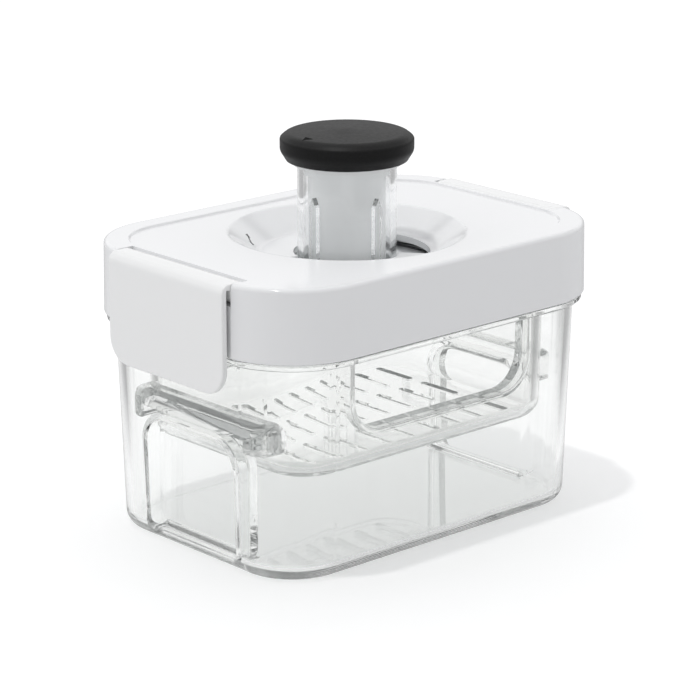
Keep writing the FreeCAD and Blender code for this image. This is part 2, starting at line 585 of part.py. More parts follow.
def make_latch(name, turned):
    """End latch: a face plate that rolls over the lid's edge into a barrel, with a hook under the flange."""
    body = new_body(name)
    inner = S.latch_face - S.latch_wall
    plate = new_sketch(body, "latch_plate", "XZ_Plane")
    add_polygon(plate, [(S.pivot_x, S.lid_top), (S.pivot_x, S.lid_top - S.latch_wall),
                        (inner, S.lid_top - S.latch_wall), (inner, S.latch_bottom),
                        (S.latch_face, S.latch_bottom), (S.latch_face, S.lid_top)])
    pad(body, plate, S.latch_half * 2, even=True)
    barrel = new_sketch(body, "latch_barrel", "XZ_Plane")
    add_circle(barrel, S.pivot_x, S.pivot_z, S.barrel_radius)
    pad(body, barrel, S.latch_half * 2, even=True)
    face, top, low, side = S.latch_face.number, S.lid_top.number, S.latch_bottom.number, S.latch_half.number
    round_edges(body, S.latch_edge, lambda edge: level(edge, top) and reach(edge) > face - TOUCH,
                "latch_fillet")
    inner_x = inner.number
    round_edges(body, S.latch_corner, lambda edge: level(edge, low) and edge.BoundBox.XLength > TOUCH
                and edge.BoundBox.YLength < TOUCH and reach(edge) > inner_x - TOUCH, "latch_corners")
    bend = (S.lid_top - S.latch_edge).number
    round_edges(body, S.latch_round, lambda edge: across(edge, "Y", side)
                or (across(edge, "X", face) and not level(edge, bend)), "latch_rim_fillet")

    hook = new_sketch(body, "hook", "XZ_Plane")
    root = inner + S.overrun
    add_polygon(hook, [(S.hook_reach, S.hook_top), (S.hook_reach, S.hook_top - S.hook_nose),
                       (inner, S.hook_bottom), (root, S.hook_bottom), (root, S.hook_top)])
    pad(body, hook, S.hook_half * 2, even=True)
    pin = new_sketch(body, "latch_pin_hole", "XZ_Plane")
    add_circle(pin, S.pivot_x, S.pivot_z, S.pin_radius + S.running_fit)
    pocket(body, pin, (S.latch_half + S.overrun) * 2, even=True)
    body.Placement.Rotation = FreeCAD.Rotation(Vector(0, 0, 1), turned)
    return body


# ---------------------------------------------------------------- groups of like pieces
def group_of(name, places, pieces):
    """One node that holds a separate solid at each place; pieces lists (radius, low, high) cylinders."""
    solids = []
    for axis, (x, y, z) in places:
        stack = [Part.makeCylinder(radius, high - low, Vector(x, y, z) + axis * low, axis)
                 for radius, low, high in pieces]
        solids.append(stack[0].multiFuse(stack[1:]).removeSplitter() if len(stack) > 1 else stack[0])
    feature = doc.addObject("Part::Feature", name)
    feature.Label = name
    feature.Shape = Part.makeCompound(solids)
    return feature


def make_pins():
    """Steel pins that the two latches turn on."""
    half = S.pin_half.number
    places = [(Vector(0, 1, 0), (side * S.pivot_x.number, 0, S.pivot_z.number)) for side in (-1, 1)]
    return group_of("hinge_pins", places, [(S.pin_radius.number, -half, half)])


def make_collar_screws():
    """Pan-head screws that hold the guide collar up to the lid's bosses."""
    seat = S.disc_bottom.number
    places = [(Vector(0, 0, 1), (x.number, y.number, 0)) for x, y in screw_places()]
    return group_of("collar_screws", places,
                    [(S.screw_head.number, seat - S.screw_head_height.number, seat),
                     (S.screw_shank.number, seat, S.screw_end.number)])


# ---------------------------------------------------------------- guide collar and spring
def make_collar():
    """Bush that guides the stem, its disc, and the ledges that the stem's wings turn onto."""
    body = new_body("guide_collar")
    bush = new_sketch(body, "bush", "XZ_Plane")
    outer = S.collar_radius + S.collar_wall
    add_polygon(bush, [(S.collar_radius, S.collar_bottom), (outer, S.collar_bottom), (outer, S.disc_bottom),
                       (S.disc_radius, S.disc_bottom), (S.disc_radius, S.disc_top), (outer, S.disc_top),
                       (outer, S.collar_top), (S.collar_radius, S.collar_top)])
    turn("Revolution", body, bush)
    posts = new_sketch(body, "post", offset=S.ledge_bottom)
    add_sector(posts, S.post_inner, S.ledge_outer, S.post_start, S.ledge_end)
    ledge = new_sketch(body, "ledge", offset=S.ledge_bottom)
    add_sector(ledge, S.ledge_inner, S.ledge_outer, S.ledge_start, S.ledge_end)
    features = [pad(body, posts, S.disc_bottom - S.ledge_bottom + S.sliver),
                pad(body, ledge, S.ledge_top - S.ledge_bottom)]
    turned_copies(body, features, 2, 1)
    holes = new_sketch(body, "disc_holes", offset=S.disc_top)
    for x, y in screw_places():
        add_circle(holes, x, y, S.screw_shank + S.clearance)
    pocket(body, holes, S.disc_top - S.disc_bottom)
    return body


def make_spring():
    """Press spring: a wide, light coil that stands on the plate round the twist lock."""
    wire = S.spring_wire.number / 2
    low = S.spring_low.number + wire
    rise = S.spring_high.number - wire - low
    turns = S.spring_turns.number
    count = int(COIL_STEPS * turns)
    sections = []
    for i in range(count + 1):
        angle = 2 * math.pi * i / COIL_STEPS
        outward = Vector(math.cos(angle), math.sin(angle), 0)
        centre = outward * S.spring_radius.number + Vector(0, 0, low + rise * i / count)
        corners = []
        for k in range(WIRE_SIDES):
            around = 2 * math.pi * (k + 0.5) / WIRE_SIDES
            corners.append(centre + outward * wire * math.cos(around) + Vector(0, 0, wire * math.sin(around)))
        sections.append(Part.makePolygon([*corners, corners[0]]))
    feature = doc.addObject("Part::Feature", "press_spring")
    feature.Label = "press_spring"
    feature.Shape = Part.makeLoft(sections, True, True)
    return feature


def make_spring_seat():
    """Wedge ring that seats the spring's top turn under the dish."""
    body = new_body("spring_seat")
    start = S.dish_floor_radius + S.dish_foot
    slope = (S.lid_top - S.dish_floor) / (S.dish_radius + S.dish_brim - start)
    under = S.dish_floor - S.lid_wall - S.clearance
    profile = new_sketch(body, "seat_profile", "XZ_Plane")
    add_polygon(profile, [(S.seat_inner, S.spring_high), (S.seat_outer, S.spring_high),
                          (S.seat_outer, under + slope * (S.seat_outer - start)),
                          (S.seat_inner, under + slope * (S.seat_inner - start))])
    turn("Revolution", body, profile)
    return body


# ---------------------------------------------------------------- plunger
def make_plate():
    """Press plate: deck with a rim, centre post, thrust ring and grooves underneath."""
    body = new_body("press_plate")
    deck = new_sketch(body, "deck", offset=S.plate_bottom)
    add_rounded(deck, S.plate_length / 2, None, S.plate_width / 2, S.plate_corner)
    pad(body, deck, S.plate_deck)
    top = S.plate_bottom + S.plate_deck
    rim = new_sketch(body, "rim", offset=top)
    for inset in (ZERO, S.plate_rim_wall):
        add_rounded(rim, S.plate_length / 2 - inset, None, S.plate_width / 2 - inset, S.plate_corner - inset)
    pad(body, rim, S.plate_rim_top - top)
    post = new_sketch(body, "post", offset=top)
    add_circle(post, ZERO, ZERO, S.post_radius)
    pad(body, post, S.post_top - top)
    thrust = new_sketch(body, "thrust_ring", offset=top)
    add_circle(thrust, ZERO, ZERO, S.thrust_outer)
    add_circle(thrust, ZERO, ZERO, S.thrust_inner)
    pad(body, thrust, S.foot_bottom - top - S.clearance)
    pilot = new_sketch(body, "post_pilot", offset=S.post_top)
    add_circle(pilot, ZERO, ZERO, S.swivel_shank + S.running_fit)
    pocket(body, pilot, S.post_top - top + S.plate_deck / 2)
    first = ZERO - S.groove_pitch * ((PLATE_GROOVES - 1) / 2)
    groove = new_sketch(body, "groove", offset=S.plate_bottom, shift=first)
    add_rounded(groove, S.groove_width / 2, None, S.plate_width / 2 - S.plate_corner / 2,
                S.groove_width / 2 - S.sliver)
    groove_cut = pocket(body, groove, S.groove_depth, back=True)
    grid_of(body, groove_cut, S.groove_pitch, PLATE_GROOVES, S.groove_pitch, 1)
    return body


def make_foot():
    """Cup on the stem's lower end, with the two wings of the twist lock."""
    body = new_body("stem_foot")
    floor_top = S.foot_bottom + S.foot_floor
    socket = S.stem_radius + S.running_fit
    cup = new_sketch(body, "cup", "XZ_Plane")
    add_polygon(cup, [(S.post_radius + S.clearance, S.foot_bottom), (S.foot_radius, S.foot_bottom),
                      (S.foot_radius, S.wing_top), (S.foot_inner, S.wing_top),
                      (S.foot_inner, S.foot_ring_top), (socket, S.foot_ring_top), (socket, floor_top),
                      (S.post_radius + S.clearance, floor_top)])
    turn("Revolution", body, cup)
    wing = new_sketch(body, "wing", offset=S.wing_bottom)
    add_sector(wing, S.foot_radius - S.overrun, S.wing_radius, ZERO - S.wing_half_angle, S.wing_half_angle)
    turned_copies(body, [pad(body, wing, S.wing_top - S.wing_bottom)], 2, 1)
    return body


def make_stem():
    """Clear tube with four pointed ribs inside."""
    body = new_body("stem_tube")
    inner = S.stem_radius - S.stem_wall
    tube = new_sketch(body, "tube", "XZ_Plane")
    add_polygon(tube, [(inner, S.stem_bottom), (S.stem_radius, S.stem_bottom), (S.stem_radius, S.stem_top),
                       (inner, S.stem_top)])
    turn("Revolution", body, tube)
    rib = new_sketch(body, "stem_rib", "YZ_Plane", inner - S.stem_rib_depth)
    half = S.stem_rib_width / 2
    corners = [(ZERO - half, S.stem_bottom), (half, S.stem_bottom), (half, S.stem_rib_top),
               (ZERO, S.stem_rib_point), (ZERO - half, S.stem_rib_top)]
    add_polygon(rib, corners)
    rib_pad = pad(body, rib, S.stem_rib_depth + S.stem_wall / 2)
    turned_copies(body, [rib_pad], STEM_RIBS, 1)
    return body


def make_core():
    """White plug that closes the stem and carries the knob's cover; its liner fits inside the stem's ribs."""
    body = new_body("knob_core")
    plug = S.stem_radius - S.stem_wall - S.running_fit
    liner = plug - S.stem_rib_depth
    profile = new_sketch(body, "core_profile", "XZ_Plane")
    add_polygon(profile, [(ZERO, S.plug_bottom), (liner - S.liner_wall, S.plug_bottom),
                          (liner - S.liner_wall, S.liner_bottom), (liner, S.liner_bottom),
                          (liner, S.plug_bottom), (plug, S.plug_bottom), (plug, S.stem_top),
                          (S.neck_radius, S.stem_top), (S.neck_radius, S.neck_top),
                          (S.core_radius, S.neck_top), (S.core_radius, S.core_top), (ZERO, S.core_top)])
    turn("Revolution", body, profile)
    return body


def make_grip():
    """Black soft cover of the knob."""
    body = new_body("knob_grip")
    profile = new_sketch(body, "grip_profile", "XZ_Plane")
    inner = S.core_radius + S.running_fit
    add_polygon(profile, [(inner, S.neck_top), (S.knob_under, S.neck_top), (S.knob_radius, S.belt_low),
                          (S.knob_radius, S.belt_high), (S.knob_shoulder_radius, S.knob_shoulder),
                          (ZERO, S.knob_top), (ZERO, S.core_top), (inner, S.core_top)])
    turn("Revolution", body, profile)
    for name, height, radius in (("belt_low", S.belt_low, S.belt_low_round),
                                 ("belt_high", S.belt_high, S.belt_high_round),
                                 ("shoulder", S.knob_shoulder, S.shoulder_round)):
        z = height.number
        round_edges(body, radius, lambda edge: level(edge, z), f"{name}_fillet")
    return body


def make_washer():
    """Washer that keeps the stem's foot on the plate's post."""
    body = new_body("swivel_washer")
    ring = new_sketch(body, "washer_ring", offset=S.post_top)
    add_circle(ring, ZERO, ZERO, S.washer_radius)
    add_circle(ring, ZERO, ZERO, S.swivel_shank + S.running_fit)
    pad(body, ring, S.washer_thick)
    return body


def make_swivel_screw():
    """Screw through the washer into the post."""
    seat = (S.post_top + S.washer_thick).number
    end = (S.plate_bottom + S.plate_deck / 2).number + S.clearance.number
    return group_of("swivel_screw", [(Vector(0, 0, 1), (0, 0, 0))],
                    [(S.swivel_head.number, seat, seat + S.swivel_head_height.number),
                     (S.swivel_shank.number, end, seat)])


# ---------------------------------------------------------------- assembly and export
PARTS = [
    make_container(), make_basket(), make_lid(), make_collar(), make_collar_screws(), make_spring_seat(),
    make_pins(), make_latch("latch_right", 0), make_latch("latch_left", 180), make_plate(),
    make_washer(), make_swivel_screw(), make_spring(), make_stem(), make_foot(), make_core(), make_grip(),
]
doc.recompute()
failed = [item.Label for item in doc.Objects if {"Invalid", "Error"} & set(item.State)]
failed += [item.Label for item in PARTS if item.Shape.isNull() or not item.Shape.isValid()]
if failed:
    raise RuntimeError(f"failed objects: {failed}")
os.makedirs("parts", exist_ok=True)
for item in PARTS:
    item.Shape.exportStep(f"parts/{item.Label}.step")
    print(item.Label, len(item.Shape.Solids), round(item.Shape.Volume))
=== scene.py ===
import math

import bmesh
import bpy
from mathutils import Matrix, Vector
from mathutils.bvhtree import BVHTree


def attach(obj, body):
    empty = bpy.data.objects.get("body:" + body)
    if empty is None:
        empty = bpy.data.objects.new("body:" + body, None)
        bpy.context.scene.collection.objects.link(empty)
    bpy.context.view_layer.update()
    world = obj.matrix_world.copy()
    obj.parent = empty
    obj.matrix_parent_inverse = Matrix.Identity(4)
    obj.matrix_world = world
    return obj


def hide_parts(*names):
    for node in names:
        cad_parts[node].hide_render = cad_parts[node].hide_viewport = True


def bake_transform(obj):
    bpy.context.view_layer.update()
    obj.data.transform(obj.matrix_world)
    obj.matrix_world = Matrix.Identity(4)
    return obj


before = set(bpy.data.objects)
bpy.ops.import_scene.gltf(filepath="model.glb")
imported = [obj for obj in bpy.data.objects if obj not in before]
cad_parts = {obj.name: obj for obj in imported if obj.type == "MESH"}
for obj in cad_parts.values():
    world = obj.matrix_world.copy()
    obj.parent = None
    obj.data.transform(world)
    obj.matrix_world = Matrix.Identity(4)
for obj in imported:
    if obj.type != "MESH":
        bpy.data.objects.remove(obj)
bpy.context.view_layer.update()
scene = bpy.context.scene
scene.view_settings.view_transform = "Standard"
# Light glances many times along inside the thick clear walls, which turn black where it is cut short.
scene.cycles.max_bounces = 96
scene.cycles.glossy_bounces = 64
scene.cycles.transmission_bounces = 64
scene.cycles.transparent_max_bounces = 24

# ---------------------------------------------------------------- camera
# A long lens on a tripod, above the table and off the press's front left corner.
# It is aimed at the middle of the container, so both walls and the top of the lid show.
CAMERA_LENS = 149.0
CAMERA_FILM = 36.0
CAMERA_PLACE = Vector((-0.7060, -0.7773, 0.3774))
CAMERA_AIM = Vector((0.0, 0.0, 0.0645))


def placed(name, data):
    """A new object made of the data and put in the scene."""
    thing = bpy.data.objects.new(name, data)
    scene.collection.objects.link(thing)
    return thing


camera_data = bpy.data.cameras.new("studio_camera")
camera_data.lens = CAMERA_LENS
camera_data.sensor_width = CAMERA_FILM
camera = placed("studio_camera", camera_data)
camera.location = CAMERA_PLACE
camera.rotation_euler = (CAMERA_AIM - CAMERA_PLACE).to_track_quat("-Z", "Y").to_euler()
scene.camera = camera

# ---------------------------------------------------------------- table and light
# A wide white sheet of paper under the press, a soft lamp high on the left, and a white room that is a
# little brighter behind the press. The bare paper is clean white, with a glow mixed into it that paints its
# shadow paler; gloss shows it half grey. Through plastic it is white in the middle and fades on each side
# to a grey that is painted shade, in place of dark cards.


def node_of(tree, kind, **values):
    """A new node; each value goes to the property or the input of that name."""
    node = tree.nodes.new(kind)
    for name, value in values.items():
        if name in node.bl_rna.properties:
            setattr(node, name, value)
        else:
            node.inputs[name.replace("_", " ")].default_value = value
    return node


def new_material(name):
    """A material with only its output node: returns the material, its tree and the output."""
    material = bpy.data.materials.new(name)
    material.use_nodes = True
    tree = material.node_tree
    tree.nodes.clear()
    return material, tree, tree.nodes.new("ShaderNodeOutputMaterial")


def mix_by_ray(tree, rays, usual, other):
    """The usual shader, except to rays of the named kinds, which meet the other one."""
    path = tree.nodes.new("ShaderNodeLightPath")
    for ray in rays:
        mix = tree.nodes.new("ShaderNodeMixShader")
        tree.links.new(path.outputs[ray], mix.inputs[0])
        tree.links.new(usual, mix.inputs[1])
        tree.links.new(other, mix.inputs[2])
        usual = mix.outputs[0]
    return usual


def grey_steps(tree, value, steps):
    """A grey that follows the value through (value, grey) steps."""
    ramp = tree.nodes.new("ShaderNodeValToRGB")
    for position, _ in steps[1:-1]:
        ramp.color_ramp.elements.new(position)
    for element, (position, grey) in zip(ramp.color_ramp.elements, steps):
        element.position = position
        element.color = (grey, grey, grey, 1.0)
    tree.links.new(value, ramp.inputs[0])
    return ramp.outputs[0]


# Each step is a distance to the side of the view's middle, in metres, and the paper's grey there.
PAPER_SEEN = ((0.0, 1.06), (1.0, 1.06))
PAPER_IN_GLOSS = ((0.0, 0.50), (1.0, 0.50))
# Through plastic the paper's sides are painted grey: painted shade in place of dark cards beside the view.
PAPER_THROUGH_PLASTIC = ((0.0, 1.05), (0.12, 1.05), (0.20, 0.45), (0.45, 0.45), (0.80, 1.05))
PAPER_BY_RAY = (("Is Glossy Ray", PAPER_IN_GLOSS), ("Is Transmission Ray", PAPER_THROUGH_PLASTIC),
                ("Is Camera Ray", PAPER_SEEN))
PAPER_MATT = (0.82, 0.82, 0.82, 1.0)
# Share of glow in the paper: painted light that makes the paper's shadow paler.
PAPER_GLOW = 0.36
PAPER_HALF = 4.0
PAPER_DROP = 0.0002

paper_mesh = bpy.data.meshes.new("paper_sheet")
paper_mesh.from_pydata([(-PAPER_HALF, -PAPER_HALF, -PAPER_DROP), (PAPER_HALF, -PAPER_HALF, -PAPER_DROP),
                        (PAPER_HALF, PAPER_HALF, -PAPER_DROP), (-PAPER_HALF, PAPER_HALF, -PAPER_DROP)],
                       [], [(0, 1, 2, 3)])
paper = placed("paper_sheet", paper_mesh)
paper.rotation_euler.z = math.atan2(-CAMERA_PLACE.y, -CAMERA_PLACE.x)
material, tree, out = new_material("white_paper")
sheet = node_of(tree, "ShaderNodeBsdfDiffuse", Color=PAPER_MATT).outputs[0]
place = tree.nodes.new("ShaderNodeTexCoord")
apart = tree.nodes.new("ShaderNodeSeparateXYZ")
tree.links.new(place.outputs["Object"], apart.inputs[0])
aside = node_of(tree, "ShaderNodeMath", operation="ABSOLUTE")
tree.links.new(apart.outputs["Y"], aside.inputs[0])
for ray, steps in PAPER_BY_RAY:
    grey = grey_steps(tree, aside.outputs[0], steps)
    lit_paper = tree.nodes.new("ShaderNodeBsdfDiffuse")
    glowing_paper = tree.nodes.new("ShaderNodeEmission")
    # The glow mixed in here is painted light that pales the paper's shadow.
    bright = node_of(tree, "ShaderNodeMixShader", Fac=PAPER_GLOW)
    for socket, shader in zip(bright.inputs[1:], (lit_paper, glowing_paper)):
        tree.links.new(grey, shader.inputs["Color"])
        tree.links.new(shader.outputs[0], socket)
    sheet = mix_by_ray(tree, (ray,), sheet, bright.outputs[0])
tree.links.new(sheet, out.inputs["Surface"])
paper_mesh.materials.append(material)

# Each step is a height from the level, where 1 is straight up, and the room's grey there. The narrow
# dark band draws the edges of the clear walls.
ROOM_BAND = ((0.44, 1.0), (0.50, 0.40), (0.52, 0.02), (0.56, 0.02), (0.58, 0.45), (0.66, 1.0), (1.0, 1.0))
ROOM_IN_GLOSS = ((0.0, 0.30), (0.10, 0.35), (0.24, 0.95), *ROOM_BAND)
ROOM_THROUGH_PLASTIC = ((0.0, 1.0), *ROOM_BAND)
ROOM_SEEN = (1.0, 1.0, 1.0, 1.0)
ROOM_TINT = (0.98, 0.985, 1.0, 1.0)
ROOM_LIGHT = 0.93
ROOM_LEAN = (0.25, 0.42, -0.15)

room = bpy.data.worlds.new("white_room")
scene.world = room
room.use_nodes = True
tree = room.node_tree
tree.nodes.clear()
place = tree.nodes.new("ShaderNodeTexCoord")
height = tree.nodes.new("ShaderNodeSeparateXYZ")
tree.links.new(place.outputs["Generated"], height.inputs[0])
white = node_of(tree, "ShaderNodeBackground", Color=ROOM_SEEN, Strength=1.0)
lean = node_of(tree, "ShaderNodeVectorMath", operation="DOT_PRODUCT")
lean.inputs[1].default_value = ROOM_LEAN
tree.links.new(place.outputs["Generated"], lean.inputs[0])
level = node_of(tree, "ShaderNodeMath", operation="ADD")
level.inputs[1].default_value = ROOM_LIGHT
tree.links.new(lean.outputs["Value"], level.inputs[0])
glow = node_of(tree, "ShaderNodeBackground", Color=ROOM_TINT)
tree.links.new(level.outputs[0], glow.inputs["Strength"])
lit = glow.outputs[0]
for ray, bands in (("Is Glossy Ray", ROOM_IN_GLOSS), ("Is Transmission Ray", ROOM_THROUGH_PLASTIC)):
    shown = node_of(tree, "ShaderNodeBackground", Strength=1.0)
    tree.links.new(grey_steps(tree, height.outputs["Z"], bands), shown.inputs[0])
    lit = mix_by_ray(tree, (ray,), lit, shown.outputs[0])
lit = mix_by_ray(tree, ("Is Camera Ray",), lit, white.outputs[0])
tree.links.new(lit, tree.nodes.new("ShaderNodeOutputWorld").inputs["Surface"])

LAMP_POWER = 0.72
LAMP_WIDTH = math.radians(2.5)
LAMP_TINT = (1.0, 0.995, 0.985)
LAMP_AIM = Vector((0.27, -0.02, -1.0))

lamp_data = bpy.data.lights.new("soft_lamp", "SUN")
lamp_data.energy = LAMP_POWER
lamp_data.angle = LAMP_WIDTH
lamp_data.color = LAMP_TINT
lamp = placed("soft_lamp", lamp_data)
lamp.rotation_euler = LAMP_AIM.to_track_quat("-Z", "Y").to_euler()

# ---------------------------------------------------------------- outer container
# Water catcher, injection moulded in one piece from clear copolyester with polished walls.
# It stands on the table and carries everything else; the basket hangs on its recess tops.
PLASTIC_IOR = 1.5
CLEAR_BODY = (0.80, 0.81, 0.805)
CLEAR_SHADOW = (0.98, 0.985, 0.98)
CLEAR_EDGE_SHADOW = (0.80, 0.81, 0.81)


def surface_noise(tree, scale, detail, stretch=(1.0, 1.0, 1.0)):
    """Noise over the piece's own coordinates, in metres; scale is in features to a metre."""
    place = tree.nodes.new("ShaderNodeTexCoord")
    mapping = node_of(tree, "ShaderNodeMapping", Scale=stretch)
    noise = node_of(tree, "ShaderNodeTexNoise", Scale=scale, Detail=detail)
    tree.links.new(place.outputs["Object"], mapping.inputs["Vector"])
    tree.links.new(mapping.outputs[0], noise.inputs["Vector"])
    return noise.outputs["Fac"]


def spread_over(tree, factor, low, high):
    """The 0 to 1 factor stretched from low to high."""
    reach = node_of(tree, "ShaderNodeMapRange", To_Min=low, To_Max=high)
    tree.links.new(factor, reach.inputs["Value"])
    return reach.outputs[0]


def colour_between(tree, factor, first, second):
    """A colour that goes from the first to the second with the factor."""
    mix = node_of(tree, "ShaderNodeMix", data_type="RGBA")
    first_socket, second_socket = [s for s in mix.inputs if s.type == "RGBA"]
    first_socket.default_value = (*first, 1.0)
    second_socket.default_value = (*second, 1.0)
    tree.links.new(factor, mix.inputs["Factor"])
    return next(s for s in mix.outputs if s.type == "RGBA")


def bumps(tree, factor, strength, depth):
    """Surface relief from a factor, depth in metres."""
    bump = node_of(tree, "ShaderNodeBump", Strength=strength, Distance=depth)
    tree.links.new(factor, bump.inputs["Height"])
    return bump.outputs[0]


def clear_plastic(name, colour, shade, haze, density):
    """Clear moulded plastic: faint drift in tint, haze in places, a pale shadow.

    Its body greys light that travels far inside it, the more the denser it is.
    """
    material, tree, out = new_material(name)
    plastic = node_of(tree, "ShaderNodeBsdfPrincipled", IOR=PLASTIC_IOR, Transmission_Weight=1.0)
    drift = surface_noise(tree, scale=30.0, detail=3.0)
    patches = surface_noise(tree, scale=90.0, detail=4.0)
    tree.links.new(colour_between(tree, drift, colour, shade), plastic.inputs["Base Color"])
    tree.links.new(spread_over(tree, patches, 0.0, haze), plastic.inputs["Roughness"])
    slant = node_of(tree, "ShaderNodeLayerWeight", Blend=0.3).outputs["Facing"]
    passed = tree.nodes.new("ShaderNodeBsdfTransparent")
    tree.links.new(colour_between(tree, slant, CLEAR_SHADOW, CLEAR_EDGE_SHADOW), passed.inputs[0])
    rays = ("Is Shadow Ray", "Is Diffuse Ray")
    tree.links.new(mix_by_ray(tree, rays, plastic.outputs[0], passed.outputs[0]), out.inputs["Surface"])
    inside = node_of(tree, "ShaderNodeVolumeAbsorption", Color=(*CLEAR_BODY, 1.0), Density=density)
    tree.links.new(inside.outputs[0], out.inputs["Volume"])
    return material


def finish_node(node, material):
    """Gives a carried-over piece its material."""
    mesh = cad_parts[node].data
    mesh.materials.clear()
    mesh.materials.append(material)


finish_node("outer_container", clear_plastic(
    "polished_clear", colour=(0.992, 0.995, 0.992), shade=(0.980, 0.986, 0.981), haze=0.0, density=3.0))

# ---------------------------------------------------------------- inner basket
# Drainage basket of the same clear plastic, a little hazier because it is handled and rinsed most.
# Its two end shelves rest on the container's recesses, and it lifts straight out.
finish_node("inner_basket", clear_plastic(
    "handled_clear", colour=(0.990, 0.990, 0.986), shade=(0.975, 0.978, 0.973), haze=0.02, density=12.0))

# ---------------------------------------------------------------- lid shell
# Glossy white lid, moulded in ABS with a polished outside; it drops over the container's rim.
# The sunk top, the dish and the two windows of the twist lock are all part of the one moulding.


def moulded_plastic(name, colour, shade, polish, grain, depth=0.00006):
    """Opaque moulded plastic: faint drift between two shades, uneven polish and a fine skin."""
    material, tree, out = new_material(name)
    plastic = node_of(tree, "ShaderNodeBsdfPrincipled", IOR=PLASTIC_IOR)
    drift = surface_noise(tree, scale=28.0, detail=3.0)
    patches = surface_noise(tree, scale=60.0, detail=4.0)
    skin = surface_noise(tree, scale=grain, detail=3.0)
    tree.links.new(colour_between(tree, drift, colour, shade), plastic.inputs["Base Color"])
    tree.links.new(spread_over(tree, patches, *polish), plastic.inputs["Roughness"])
    tree.links.new(bumps(tree, skin, strength=0.12, depth=depth), plastic.inputs["Normal"])
    tree.links.new(plastic.outputs[0], out.inputs["Surface"])
    return material


finish_node("lid_shell", moulded_plastic(
    "polished_white", colour=(0.895, 0.898, 0.907), shade=(0.888, 0.891, 0.899),
    polish=(0.10, 0.16), grain=500.0))

# ---------------------------------------------------------------- twist mark
# A small double-headed turning arrow in dark ink, pad printed on the dish's wall beside the stem.
# It only says that the knob turns there, and it is a few hundredths of a millimetre thick.
MARK_MIDDLE = math.radians(128.9)
MARK_RADIUS = 0.0374
MARK_HALF_ARC = math.radians(2.9)
MARK_LEAN = 0.0010
MARK_LINE = 0.00055
MARK_HEAD_LENGTH = 0.0016
MARK_HEAD_WIDTH = 0.0019
MARK_INK = 0.00005
MARK_STEPS = 16
MARK_WELD = 1e-7
ABOVE_ALL = 0.2
STRAIGHT_DOWN = Vector((0.0, 0.0, -1.0))


def laid_on(skin, angle, radius, lift):
    """The point of a skin under a place given by angle and radius, raised along the skin's normal."""
    start = Vector((radius * math.cos(angle), radius * math.sin(angle), ABOVE_ALL))
    point, normal, _, _ = skin.ray_cast(start, STRAIGHT_DOWN)
    return point + normal * lift


def closed_mesh(name, shape):
    """The mesh of a closed shape, with its faces pointing outwards; the shape is used up."""
    bmesh.ops.recalc_face_normals(shape, faces=shape.faces)
    mesh = bpy.data.meshes.new(name)
    shape.to_mesh(mesh)
    shape.free()
    return mesh


def printed_mark(name, skin, patches, ink):
    """A thin plate of ink from three- or four-cornered patches of (angle, radius) places on a skin."""
    shape = bmesh.new()
    for patch in patches:
        for lift in (0.0, ink):
            patch_face = shape.faces.new([shape.verts.new(laid_on(skin, *place, lift)) for place in patch])
            if lift == 0.0:
                patch_face.normal_flip()
    for low, high in zip(list(shape.faces)[0::2], list(shape.faces)[1::2]):
        lows, highs = [loop.vert for loop in low.loops][::-1], [loop.vert for loop in high.loops]
        start = min(range(len(highs)), key=lambda k: (highs[k].co - lows[0].co).length)
        highs = highs[start:] + highs[:start]
        for k in range(len(lows)):
            following = (k + 1) % len(lows)
            shape.faces.new((lows[k], lows[following], highs[following], highs[k]))
    bmesh.ops.remove_doubles(shape, verts=shape.verts, dist=MARK_WELD)
    return placed(name, closed_mesh(name, shape))


def across_mark(angle, width):
    """The two places each side of the mark's line at an angle; it leans in to the stem as it turns."""
    radius = MARK_RADIUS - MARK_LEAN * (angle - MARK_MIDDLE) / MARK_HALF_ARC
    return (angle, radius - width / 2), (angle, radius + width / 2)


lid_skin = BVHTree.FromObject(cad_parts["lid_shell"], bpy.context.evaluated_depsgraph_get())
mark_turns = [MARK_MIDDLE - MARK_HALF_ARC + 2.0 * MARK_HALF_ARC * k / MARK_STEPS
              for k in range(MARK_STEPS + 1)]
arrow = [(*across_mark(first, MARK_LINE), *across_mark(second, MARK_LINE)[::-1])
         for first, second in zip(mark_turns, mark_turns[1:])]
for end, way in ((mark_turns[0], -1.0), (mark_turns[-1], 1.0)):
    tip = end + way * MARK_HEAD_LENGTH / MARK_RADIUS
    arrow.append((*across_mark(end, MARK_HEAD_WIDTH), across_mark(tip, 0.0)[0]))
twist_mark = printed_mark("twist_mark", lid_skin, arrow, MARK_INK)
twist_mark.data.materials.append(moulded_plastic(
    "dark_ink", colour=(0.05, 0.05, 0.055), shade=(0.07, 0.07, 0.075), polish=(0.4, 0.6), grain=900.0))
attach(twist_mark, "lid")

# ---------------------------------------------------------------- hinge pins
# Two stainless steel pins, cut from drawn rod and pressed into the lid's ends.
# Each latch's barrel turns on one.


def bare_steel(name, colour, polish, stretch=(1.0, 1.0, 1.0)):
    """Bare steel: fine streaks or tumbling marks that vary its polish."""
    material, tree, out = new_material(name)
    metal = node_of(tree, "ShaderNodeBsdfPrincipled", Base_Color=(*colour, 1.0), Metallic=1.0)
    streaks = surface_noise(tree, scale=1200.0, detail=3.0, stretch=stretch)
    tree.links.new(spread_over(tree, streaks, *polish), metal.inputs["Roughness"])
    tree.links.new(bumps(tree, streaks, strength=0.1, depth=0.00003), metal.inputs["Normal"])
    tree.links.new(metal.outputs[0], out.inputs["Surface"])
    return material


finish_node("hinge_pins", bare_steel(
    "drawn_pin_steel", colour=(0.66, 0.66, 0.66), polish=(0.15, 0.3), stretch=(1.0, 0.05, 1.0)))

# ---------------------------------------------------------------- latches
# Two white ABS end latches, a little whiter and less polished than the lid. Each is one moulding with
# a barrel on its pin at the top and a hook that snaps under the container's flange.
latch_white = moulded_plastic("satin_latch_white", colour=(0.93, 0.932, 0.93), shade=(0.925, 0.927, 0.925),
                              polish=(0.24, 0.28), grain=900.0, depth=0.00003)
finish_node("latch_right", latch_white)
finish_node("latch_left", latch_white)

